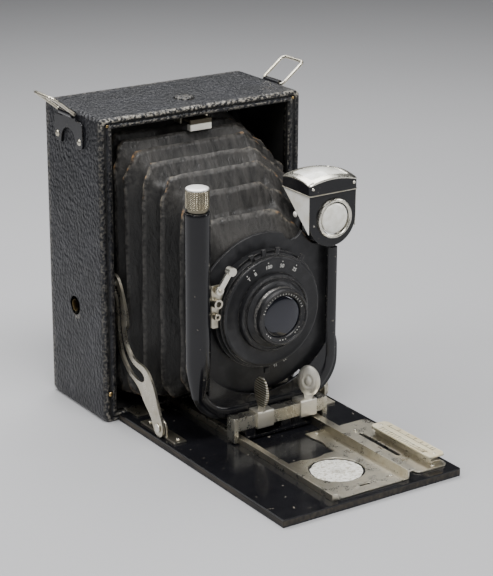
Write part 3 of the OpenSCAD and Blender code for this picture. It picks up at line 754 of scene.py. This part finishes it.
def bellows_part(name, body, rows, replaced, seed):
    """Pleated leathercloth through its rows, with folded-in corners and rubbed ridges."""
    points, worn, dusty = [], [], []
    start, end = rows[0][0], rows[-1][0]
    for y, half, low, top, crest in rows:
        fade = min(1.0, abs(y - start) / 3, abs(y - end) / 3)
        for x, z, corner, dust in corner_ring(half, low, top, crest):
            p = at(x, y, z)
            sag = 0.5 * value_noise(p, 17, seed) + 0.3 * value_noise(p, 6, seed + 3)
            crumple = 1.5 * corner * value_noise(p, 5, seed + 7)
            shift_y = value_noise(p, 21, seed + 11) + 1.3 * corner * value_noise(p, 7, seed + 13)
            p += Vector((x, 0, z - 62)).normalized() * (sag + crumple) * MM * fade
            p.y += shift_y * MM * fade
            points.append(p)
            rubbed = max(0.0, (crest - 0.80) / 0.20) * (0.36 + 0.36 * corner)
            worn.append(min(1.0, rubbed + 0.22 * corner * crest))
            # Share of the lit top: 1 on the top of the folds, 0 on the sides and underside where the painted shade
            # darkens the cloth.
            dusty.append(dust)
    part = points, grid_faces(len(rows), len(points) // len(rows))
    made = add_sheet(name, part, body, CLOTH, "bellows_leather", (replaced,), 0.5, worn=worn, dusty=dusty)
    bake(made)
    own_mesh(made)


def bellows():
    """The rear half stays with the case; the front half, closed in behind the board, slides with the carriage."""
    rear = fold_rows(BELLOWS_BACK, SPLIT_Y, 5)
    bellows_part("bellows_rear_folds", "case", rear, "bellows_rear", 1.5)
    front = fold_rows(SPLIT_Y + 0.8, BELLOWS_FRONT, 5)
    front += [(BELLOWS_FRONT + 0.3, 21.5, 30.5, 87, 0), (BELLOWS_FRONT + 0.4, 19, 34, 83, 0)]
    bellows_part("bellows_front_folds", "carriage", front, "bellows_front", 4.5)


# ---------------------------------------------------------------- standard

STANDARD_Y = -50.5
TUBE_X = -35.0
# Radius of the standard's bends
BEND = 17


def standard_bow():
    """Rounded bar bent to a U along the standard's edge: left bend, foot and the whole right leg."""
    quarter = [math.pi / 2 * i / 18 for i in range(19)]
    path = [(-34.9, 44), (-34.9, 38), (-34.9, 34)]
    path += [(-17.9 - BEND * math.cos(t), 33 - BEND * math.sin(t)) for t in quarter]
    path += [(-17 + 34 * i / 8, 16) for i in range(1, 8)]
    path += [(17.6 + BEND * math.sin(t), 33 - BEND * math.cos(t)) for t in quarter]
    path += [(34.6, 38 + 4.4 * i) for i in range(11)] + [(34.6, 82.1), (34.6, 82.45)]
    half_width, half_depth = 2.7, 1.45
    rows = []
    for i, (x, z) in enumerate(path):
        x0, z0 = path[max(i - 1, 0)]
        x1, z1 = path[min(i + 1, len(path) - 1)]
        length = math.hypot(x1 - x0, z1 - z0)
        nx, nz = (z1 - z0) / length, -(x1 - x0) / length
        # The top end of the leg is eased
        size = {len(path) - 1: 0.75, len(path) - 2: 0.95}.get(i, 1.0)
        row = []
        for a in turn_steps(28):
            across = half_width * size * math.copysign(abs(math.cos(a)) ** 0.7, math.cos(a))
            deep = half_depth * size * math.copysign(abs(math.sin(a)) ** 0.8, math.sin(a))
            row.append(at(x + nx * across, STANDARD_Y + deep, z + nz * across))
        rows.append(row)
    build("standard_bow", [stack(rows, caps=(0, len(rows) - 1))], "carriage", ENAMEL)


def rising_tube():
    """Enamelled tube of the rising front, drawn in at its foot, with the nut's slot behind."""
    profile = [(1.6, 108.4), (1.6, 109.7), (4.9, 109.75), (5.35, 109.6), (5.5, 109.2), (5.5, 108), (5.5, 44),
               (5.45, 41), (5.2, 38), (4.6, 34.5), (3.9, 31), (3.3, 28), (2.9, 26.1), (1.5, 26.1), (3.3, 36),
               (4.25, 44), (4.3, 108.3)]
    rows = [ring(TUBE_X, STANDARD_Y, z, radius, 64) for radius, z in profile]
    made = build("rising_tube", [stack(rows, closed=True)], "carriage", ENAMEL, ("screw_tube",))
    low, high = at(TUBE_X, -47.9, 48), at(TUBE_X + 8, -45.6, 82)
    box = Matrix.Translation((low + high) / 2) @ Matrix.Diagonal((*(high - low), 1))
    bake(made, cutter("nut_slot", box, bmesh.ops.create_cube, size=1))


def knurled_knob():
    """Knob of the rising front: diamond knurl round its side and an eased, polished top."""
    sides, steps = 132, 36
    rows = [ring(TUBE_X, STANDARD_Y, z, radius, sides) for radius, z in ((4.3, 110.0), (4.35, 110.9), (4.6, 111.0))]
    for r in range(steps + 1):
        fade = min(1, r / 2, (steps - r) / 2)
        twist = 9 * math.pi * r / steps
        row = []
        for a in turn_steps(sides):
            radius = 4.62 + 0.5 * fade * abs(math.sin(a * 13 + twist)) * abs(math.sin(a * 13 - twist))
            row.append(at(TUBE_X + radius * math.cos(a), STANDARD_Y + radius * math.sin(a), 111.2 + 8.2 * r / steps))
        rows.append(row)
    build("knurled_knob", [stack(rows, caps=(0, len(rows) - 1))], "screw", KNURLED_NICKEL, ("rise_knob",))
    top = ((4.6, 119.3), (4.98, 119.42), (5.0, 119.7), (4.85, 119.98), (4.5, 120.15), (2.5, 120.25), (0.02, 120.27))
    cap = [ring(TUBE_X, STANDARD_Y, z, radius, 80) for radius, z in top]
    build("knob_top", [stack(cap, caps=(0,))], "screw", WIPED_NICKEL)


def tab_clip(clip):
    """The folded clip round the crossbar, between two distances from the lens axis."""
    y0, y1, z0, z1 = -59.5, -52.2, 8.6, 16.5
    outer = rounded_rect(y0, y1, z0, z1, 0.7, per_corner=5)
    inner = rounded_rect(y0 + 0.85, y1 - 0.65, z0 + 0.75, z1 - 0.85, 0.2, per_corner=5)
    return stack([[at(x, y, z) for y, z in outline] for x, outline in (
        (clip[0], outer), (clip[1], outer), (clip[1], inner), (clip[0], inner))], closed=True)


def thumb_relief(t, v, side, serrated):
    """Height of a thumb plate's face at a share t of its radius: ribs, or a dish with a raised ring."""
    if serrated:
        return side * 0.24 * math.sin(v * 2 * math.pi / RIB_PITCH) * (1 if t < 0.93 else 0)
    return -0.9 * (1 - t * t) + (0.25 * math.exp(-((t - 0.35) / 0.12) ** 2) if side < 0 else 0)


def finger_tab(name, body, clip, blade_x, turn, serrated, replaced):
    """A clip round the crossbar with an oval thumb plate, serrated or dished, on a short stem."""
    c, s = math.cos(math.radians(turn)), math.sin(math.radians(turn))
    tab_y, tab_z, half_w, half_h, half_thick, steps = -57.6, 24.9, 5.3, 7.1, 0.7, 26

    def plate_point(u, v, level):
        return at(blade_x + level * c - u * s, tab_y + level * s + u * c, tab_z + v)

    # Rings from the middle of one face out to the rim, then back in over the other face
    rows = []
    for side, order in ((-1, range(steps + 1)), (1, range(steps, -1, -1))):
        for t in [i / steps for i in order]:
            level = side * half_thick * (1 - 0.55 * t ** 8)
            oval = [(half_w * t * math.cos(a), half_h * t * math.sin(a)) for a in turn_steps(72)]
            rows.append([plate_point(u, v, level + thumb_relief(t, v, side, serrated)) for u, v in oval])
    stem = slab_part([(-1.7, 15.8), (1.7, 15.8), (2.0, 17.5), (2.4, 19.2), (-2.4, 19.2), (-2.0, 17.5)],
                     lambda u, v, level: plate_point(u, v - tab_z, level), -0.55, 0.55, 0.12)
    build(name, [tab_clip(clip), stack(rows), stem], body, RIBBED_NICKEL if serrated else TAB_NICKEL,
          (replaced,))


# ---------------------------------------------------------------- struts

# Inner and outer face of the braces
BRACE_X = (43.42, 44.58)


def eased(loop):
    """The closed outline with its corners cut twice over, so that it runs in curves."""
    for _ in range(2):
        cut = []
        for (u0, v0), (u1, v1) in zip(loop, loop[1:] + loop[:1]):
            cut += [(u0 * 0.75 + u1 * 0.25, v0 * 0.75 + v1 * 0.25), (u0 * 0.25 + u1 * 0.75, v0 * 0.25 + v1 * 0.75)]
        loop = cut
    return loop


def braces():
    """Elbowed braces with a bent slot that runs up to the pin in the case."""
    edge = eased([(-29.0, 6.0), (-26.4, 11.4), (-20.4, 16.2), (-15.6, 22.4), (-7.4, 24.9), (0.4, 32.6), (3.3, 42),
                  (4.4, 56), (8.3, 64.5), (7.4, 68), (3.4, 69), (-0.6, 66.8), (-5.2, 57), (-7.9, 47.4),
                  (-4.5, 44.2), (-6.4, 38), (-12.6, 33), (-23, 32.6), (-29.4, 25.4), (-32.4, 17.6), (-36.4, 9.9),
                  (-36.6, 6.0), (-34.4, 3.7), (-31.2, 3.6)])
    slot = eased([(-20.6, 24.9), (-14.6, 24.5), (-7.9, 27.2), (-2.2, 33), (0.7, 42), (1.2, 56.4), (5.7, 63.1),
                  (5.8, 65.4), (4.6, 66.3), (2.8, 65.6), (-1.6, 58), (-2.2, 44), (-5, 36.4), (-11, 31),
                  (-19, 29.8), (-21.8, 27.6)])
    pivot = [(-32.7 + 1.25 * math.cos(a), 7.9 + 1.25 * math.sin(a)) for a in turn_steps(24)]
    loops = [edge, slot, pivot]
    flat = [p for loop in loops for p in loop]
    caps = [tuple(t) for t in geometry.tessellate_polygon([[Vector((u, v, 0)) for u, v in loop] for loop in loops])]
    faces = caps + [tuple(i + len(flat) for i in t) for t in caps]
    first = 0
    for loop in loops:
        ends = [(first + k, first + (k + 1) % len(loop)) for k in range(len(loop))]
        faces += [(a, b, b + len(flat), a + len(flat)) for a, b in ends]
        first += len(loop)
    for side, s in (("left", -1), ("right", 1)):
        points = [at(s * x, u, v) for x in BRACE_X for u, v in flat]
        build(f"brace_{side}_plate", [(points, faces)], "brace_" + side, NICKEL, ("strut_" + side,), 30)


# ---------------------------------------------------------------- shutter and lens

FACE_Y = -55.2
# Radius of the ticks and dots on the lens ring
RING_MARKS = 10.45


def shutter_front():
    """Drum face, lens mount and inner cone as turned rings with fine steps."""
    face = [(24.6, -54.3), (24.6, -54.8), (24.25, -55.15), (23.9, -55.3), (23.4, -55.3), (23.2, -55.2),
            (17.6, -55.2), (17.6, -54.2)]
    build("shutter_front", [turned(face)], "front", SATIN, ("shutter_face",), 28)
    mount = [(17.4, -54.6), (17.4, -56.9), (17.15, -57.5), (16.6, -57.9), (16.1, -57.9), (15.9, -57.4),
             (15.1, -57.4), (14.9, -58.3), (13.9, -59.2), (13.2, -59.5), (12.6, -59.6)]
    knurl = [(12.6 - 0.13 * (i % 2), -59.8 - 0.17 * i) for i in range(11)]
    rim = [(12.6, -61.9), (12.62, -63.5), (12.45, -64.0), (12.1, -64.3), (11.7, -64.35), (11.4, -64.1),
           (11.2, -63.55), (9.65, -63.1), (9.4, -62.7), (9.4, -53.4), (14.0, -53.4)]
    back = [(9.4, -48.8), (13.0, -48.8), (13.0, -45.2), (12.4, -44.9), (9.4, -45.2)]
    build("lens_mount", [turned(mount + knurl + rim), turned(back)], "front", SATIN,
          ("lens_barrel",), 28)


def lens_elements():
    """Convex front glass and the rear glass."""
    parts = []
    for edge_y, bulge, flat_y in ((-62.3, -1.0, -60.6), (-46.6, 1.0, -48.2)):
        dome = [(9.3 * math.sin(t), edge_y + bulge * math.cos(t)) for t in [math.pi / 16 * i for i in range(1, 9)]]
        profile = [(0.02, edge_y + bulge)] + dome + [(9.3, flat_y), (6, flat_y), (0.02, flat_y)]
        parts.append(turned(profile, closed=False))
    build("lens_elements", parts, "front", LENS_GLASS, ("lens_glass",))


def upright(text, size_mm):
    """Points and faces of generic dial characters, flat in u and v, centred at the origin."""
    curve = configure(bpy.data.curves.new("dial_character", "FONT"), body=text, size=size_mm, align_x="CENTER",
                      align_y="CENTER", extrude=0.03, resolution_u=3)
    holder = linked("dial_character", curve)
    mesh = bpy.data.meshes.new_from_object(holder.evaluated_get(bpy.context.evaluated_depsgraph_get()))
    points = [tuple(v.co) for v in mesh.vertices]
    faces = [tuple(p.vertices) for p in mesh.polygons]
    bpy.data.objects.remove(holder)
    return points, faces


def on_dial(part, radius, angle, y):
    """Places flat u, v, w points on the dial, upright along the radius at a clockwise angle."""
    a = math.radians(angle)
    points = []
    for u, v, w in part[0]:
        r = radius + v
        points.append(at(r * math.sin(a) + u * math.cos(a), y - w, LENS_Z + r * math.cos(a) - u * math.sin(a)))
    return points, part[1]


def dot_part(radius, angle, y, size):
    a = math.radians(angle)
    return dome_part(radius * math.sin(a), y, LENS_Z + radius * math.cos(a), size, 0.06, sides=12, rings=3)


def dial_marks():
    """Speeds on the face, plain aperture figures below, and ticks round the lens ring."""
    parts = []
    for text, angle in (("T", -35.4), ("B", -25.2), ("100", -5.6), ("50", 13.6), ("25", 33.4)):
        parts.append(on_dial(upright(text, 2.3), 20.6, angle, FACE_Y - 0.02))
        parts.append(dot_part(22.6, angle, FACE_Y - 0.01, 0.26))
    for i in range(19):
        tall = 0.4 if i % 3 else 0.55
        tick = slab_part([(-0.13, -tall), (0.13, -tall), (0.13, tall), (-0.13, tall)],
                         lambda u, v, w: (u, v, w), 0, 0.05)
        parts.append(on_dial(tick, RING_MARKS, -72 + i * 8, -63.36))
    for angle in (-142, -134, -126, 126, 134, 142, 180, 172, 188):
        parts.append(dot_part(RING_MARKS, angle, -63.32, 0.3))
    build("dial_marks", parts, "front", WHITE, smooth_angle=20)
    figures = [on_dial(upright(text, 2.0), 29.6, angle, -47.52)
               for text, angle in (("8", 176), ("16", 166), ("32", 156))]
    build("aperture_figures", figures, "front", WHITE, smooth_angle=20)


def shutter_interior():
    """Blackened plate with the diaphragm's opening, seen through the lens."""
    disc = [(9.3, -57.0), (9.3, -57.4), (5.4, -57.2), (5.4, -56.9)]
    build("inner_stop", [turned(disc, steps=64)], "front", MATTE)


# ---------------------------------------------------------------- finder

FINDER_X = 32.5
FINDER_LENS = (33.2, 96.3)
HOOD_LOW = 108.0
HOOD_X0, HOOD_X1, HOOD_Y0, HOOD_Y1 = 19.7, 45.3, -54.0, -32.9


def hood_top(x, y):
    """Height of the hood's upper surface: an even dome over the rectangle."""
    u = (x - (HOOD_X0 + HOOD_X1) / 2) / (HOOD_X1 - HOOD_X0) * 2
    v = (y - (HOOD_Y0 + HOOD_Y1) / 2) / (HOOD_Y1 - HOOD_Y0) * 2
    return 116.2 - 2.0 * u * u - 1.5 * v * v


def hood_outline(inset, radius):
    """(x, y) round the hood, drawn in by the inset."""
    return rounded_rect(HOOD_X0 + inset, HOOD_X1 - inset, HOOD_Y0 + inset, HOOD_Y1 - inset, radius, 6, 14)


def finder_hood():
    """Black band with arched upper edges, the bright domed frame on it and the lip below."""
    outer, inner = hood_outline(0, 1.2), hood_outline(0.9, 0.7)
    band = [[at(x, y, HOOD_LOW) for x, y in outline] for outline in (inner, outer)]
    band += [[at(x, y, hood_top(x, y) - 0.7) for x, y in outline] for outline in (outer, inner)]
    build("finder_band", [stack(band, closed=True)], "finder", ENAMEL)
    edge = [[at(x, y, hood_top(x, y) + rise) for x, y in hood_outline(inset, max(1.3 - inset * 0.2, 0.5))]
            for inset, rise in ((0.0, -0.7), (0.0, -0.25), (0.25, 0.0), (2.2, 0.05), (2.9, 0.0), (3.1, -0.3),
                                (3.1, -1.0), (0.4, -1.3))]
    build("finder_frame", [stack(edge, closed=True)], "finder", BRIGHT_NICKEL, ("finder_trim",))
    lip = [[at(x, y, z) for x, y in hood_outline(-swell, 1.2)]
           for z, swell in ((107.7, 0.0), (107.75, 0.22), (108.1, 0.22), (108.2, 0.0))]
    build("finder_lip", [stack(lip, closed=True)], "finder", NICKEL)


def finder_glass_top():
    """Domed top glass inside the frame."""
    n = 18
    x0, x1, y0, y1 = HOOD_X0 + 2.9, HOOD_X1 - 2.9, HOOD_Y0 + 2.9, HOOD_Y1 - 2.9
    points = []
    for level in (0.0, -1.2):
        for j in range(n + 1):
            for i in range(n + 1):
                x, y = x0 + (x1 - x0) * i / n, y0 + (y1 - y0) * j / n
                u, v = 2 * i / n - 1, 2 * j / n - 1
                swell = 0.55 * (1 - u * u) * (1 - v * v)
                points.append(at(x, y, hood_top(x, y) - 0.35 + swell + level))
    size = (n + 1) ** 2
    faces = grid_faces(n + 1, n + 1, wrap_columns=False)
    faces += grid_faces(n + 1, n + 1, first=size, wrap_columns=False)
    rim = [i for i in range(n)] + [n + (n + 1) * j for j in range(n)]
    rim += [size - 1 - i for i in range(n)] + [(n + 1) * (n - j) for j in range(n)]
    faces += [(a, b, b + size, a + size) for a, b in zip(rim, rim[1:] + rim[:1])]
    return points, faces


def finder_lens():
    """Bulged front lens of the finder."""
    bulge = [(6.8 * math.sin(t), -54.1 - 1.15 * math.cos(t)) for t in [math.pi / 18 * i for i in range(1, 10)]]
    return turned([(0.02, -55.25)] + bulge + [(6.8, -53.2), (0.02, -53.2)], *FINDER_LENS, steps=64, closed=False)


def finder_details():
    """Lens bezel, rivets, both glasses and the pale cheeks with their studs."""
    bezel = [(7.4, -53.4), (8.9, -53.4), (8.9, -54.4), (8.75, -54.75), (8.35, -54.95), (7.95, -54.85),
             (7.75, -54.5), (7.4, -54.35)]
    parts = [turned(bezel, *FINDER_LENS, steps=72)]
    parts += [dome_part(x, -54.0, 111.0, 0.75, 0.5) for x in (21.5, 43.4)]
    parts += [dome_part(22.6, -53.5, 94.2, 0.35, 0.2)]
    build("finder_bezel", parts, "finder", BRIGHT_NICKEL)
    build("finder_glasses", [finder_glass_top(), finder_lens()], "finder", FINDER_GLASS,
          ("finder_optics",))
    corners = [(-53.3, 107.7), (-34.0, 107.7), (-53.3, 90.6)]
    plates = []
    for s in (-1, 1):
        x = FINDER_X + 12.4 * s
        plates.append(slab_part(corners, lambda u, v, level, x=x, s=s: at(x + s * level, u, v), -0.05, 0.28, 0.08))
        plates.append(mirrored(dome_part(s * x, -43.0, 97.4, 1.35, 0.75, "x"), s))
    build("finder_side_plates", plates, "finder", CHEEK)


# ---------------------------------------------------------------- bed


def focusing_scale():
    """Ivory scale with engraved lines and two small rivets."""
    low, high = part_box("focus_scale")
    x0, x1 = low.x / MM, high.x / MM
    y0, y1 = (low.y - FRONT_Y) / MM, (high.y - FRONT_Y) / MM
    top = high.z / MM
    outline = rounded_rect(x0, x1, y0, y1, 2.6, per_corner=8)
    build("ivory_scale", [slab_part(outline, at, low.z / MM, top - 0.02, 0.18)], "bed", IVORY,
          ("focus_scale",))
    middle = (x0 + x1) / 2
    cuts = [(u - 0.09, y0 + 5, u + 0.09, y1 - 5) for u in (middle - 1.6, middle + 1.5)]
    for i in range(22):
        y = y0 + 6 + (y1 - y0 - 12) * (i / 21) ** 1.5
        cuts.append((x0 + 0.7, y - 0.13, x0 + 0.7 + (1.4 if i % 3 else 2.6), y + 0.13))
        if i % 3 == 0:
            cuts.append((middle + 1.6, y - 0.13, x1 - 0.8, y + 0.13))
    lines = [slab_part([(a, b), (c, b), (c, d), (a, d)], at, top - 0.05, top + 0.03) for a, b, c, d in cuts]
    build("scale_lines", lines, "bed", DARK_STEEL, smooth_angle=20)
    pins = [dome_part(middle, y, top - 0.1, 0.8, 0.3, "z") for y in (y0 + 2.6, y1 - 2.6)]
    build("scale_pins", pins, "bed", NICKEL)


def corroded_bush():
    """Flange of the tripod bush, its plating gone to pale flakes, with a ragged rim."""
    low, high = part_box("tripod_bush")
    cy = ((low.y + high.y) / 2 - FRONT_Y) / MM
    z = high.z / MM
    radius = (high.x - low.x) / 2 / MM
    bore, neck, sides, steps = 2.6, 5.9, 120, 40
    rows = []
    for i in range(steps + 1):
        row = []
        for a in turn_steps(sides):
            ragged = radius * (0.95 + 0.045 * value_noise((math.cos(a), math.sin(a), 0), 260))
            r = bore + (ragged - bore) * i / steps
            p = at(r * math.cos(a), cy + r * math.sin(a), z)
            flake = 0.16 * value_noise(p, 1.9, 3) + 0.12 * value_noise(p, 0.9, 8)
            p.z += (flake - 0.28 - (0.2 if i in (0, steps) else 0)) * MM
            row.append(p)
        rows.append(row)
    rows += [ring(0, cy, level, r, sides)
             for r, level in ((radius * 0.93, z - 0.75), (neck, z - 0.75), (neck, 0.05), (bore, 0.05))]
    build("bush_flange", [stack(rows, closed=True)], "bed", CORRODED, ("tripod_bush",), 60)


# ---------------------------------------------------------------- everything


def dress_nodes():
    """Materials and eased edges for the CAD nodes that show as they are."""
    dress = {
        NICKEL: ("body_rails", "latch_bracket", "back_hinge", "bed_hinge", "strut_brackets", "track",
                 "focus_base_plate", "scale_bracket", "bed_catch", "release_bracket", "strut_left",
                 "strut_right"),
        BRIGHT_NICKEL: ("crossbar", "release_lever", "bed_rivets", "strut_pivots"),
        LATCH: ("latch",),
        STEEL: ("bed_hinge_pin", "strut_pins", "rise_screw"),
        BLADE: ("blade_left", "blade_right"),
        ENAMEL: ("u_standard", "carriage_plate", "screw_tube", "finder_bracket", "finder_body", "strap_lugs"),
        SATIN: ("lens_board", "shutter_case", "speed_ring", "aperture_ring"),
        MATTE: ("back_frame",),
        BRASS: ("rise_nut",),
        DULL_BRASS: ("side_socket",),
        CASE_WOOD: ("case_shell",),
        BED_WOOD: ("bed_board",),
        BED_ENAMEL: ("bed_plate",),
        LEATHER: ("bed_leather", "back_door"),
        FROSTED: ("ground_glass",),
    }
    fine = {"u_standard": 0.45, "screw_tube": 0.3, "crossbar": 0.3, "lens_board": 0.2, "finder_body": 0.5,
            "strap_lugs": 0.25, "bed_plate": 0.25, "bed_board": 0.2, "bed_leather": 0.25, "back_door": 0.4,
            "shutter_case": 0.2, "case_shell": 0.2}
    for material, names in dress.items():
        for name in names:
            finish_node(name, material, fine.get(name, 0.14))


def pale_floor():
    reach = 3.0
    mesh = bpy.data.meshes.new("floor")
    mesh.from_pydata([(-reach, -reach, 0), (reach, -reach, 0), (reach, reach, 0), (-reach, reach, 0)], [],
                     [(0, 1, 2, 3)])
    mesh.materials.append(studio_floor("studio_floor"))
    linked("floor", mesh)


def soft_lights():
    """A weak sky, large lights above and to the left, and narrow ones that draw the bright edges."""
    world = bpy.data.worlds.new("studio")
    bpy.context.scene.world = world
    world.use_nodes = True
    sky = world.node_tree.nodes["Background"].inputs
    sky["Color"].default_value = rgb(0.72, 0.75, 0.8)
    sky["Strength"].default_value = 0.07
    focus = at(0, -20, 55)
    for name, place, (width, height), watts in (
            ("top_box", (0.05, 0.42, 0.72), (0.9, 0.5), 7.5),
            ("front_top", (-0.10, -0.38, 0.95), (0.55, 0.35), 11.0),
            ("left_box", (-0.62, 0.30, 0.62), (0.35, 0.5), 3.6),
            ("left_strip", (-0.75, -0.45, 0.45), (0.10, 0.6), 0.9),
            ("right_strip", (0.70, -0.55, 0.36), (0.12, 0.6), 1.8),
            ("front_fill", (-0.20, -1.1, 0.50), (0.5, 0.3), 0.8)):
        made = linked(name, configure(bpy.data.lights.new(name, "AREA"), shape="RECTANGLE", size=width,
                                      size_y=height, energy=watts))
        made.location = place
        made.rotation_euler = (focus - made.location).to_track_quat("-Z", "Y").to_euler()


def camera_view():
    """The photograph's angle, from the front left and above."""
    azimuth, elevation, roll = math.radians(-33.73), math.radians(19.28), math.radians(0.235)
    target, distance = at(23.4, 0, 50.2), 0.889
    level = Vector((math.cos(azimuth), math.sin(azimuth), 0))
    back = Vector((math.sin(azimuth) * math.cos(elevation), -math.cos(azimuth) * math.cos(elevation),
                   math.sin(elevation)))
    rise = back.cross(level)
    right = level * math.cos(roll) + rise * math.sin(roll)
    up = rise * math.cos(roll) - level * math.sin(roll)
    camera = linked("camera", configure(bpy.data.cameras.new("camera"), sensor_fit="VERTICAL", sensor_height=36.0,
                                        lens=120.34, clip_start=0.05))
    camera.matrix_world = Matrix.Translation(target + back * distance) @ Matrix((right, up, back)).transposed().to_4x4()
    bpy.context.scene.camera = camera


pale_floor()
soft_lights()
camera_view()
dress_nodes()
leather_cover()
button_cap()
corner_nails()
lug_rivets()
strap_rings()
bellows()
standard_bow()
rising_tube()
braces()
knurled_knob()
finger_tab("thumb_plate_left", "tab_left", (-10, -1.6), -7, 0, True, "finger_tab_left")
finger_tab("thumb_plate_right", "tab_right", (13, 21.4), 18.2, 32, False, "finger_tab_right")
shutter_front()
lens_elements()
dial_marks()
shutter_interior()
finder_hood()
finder_details()
focusing_scale()
corroded_bush()
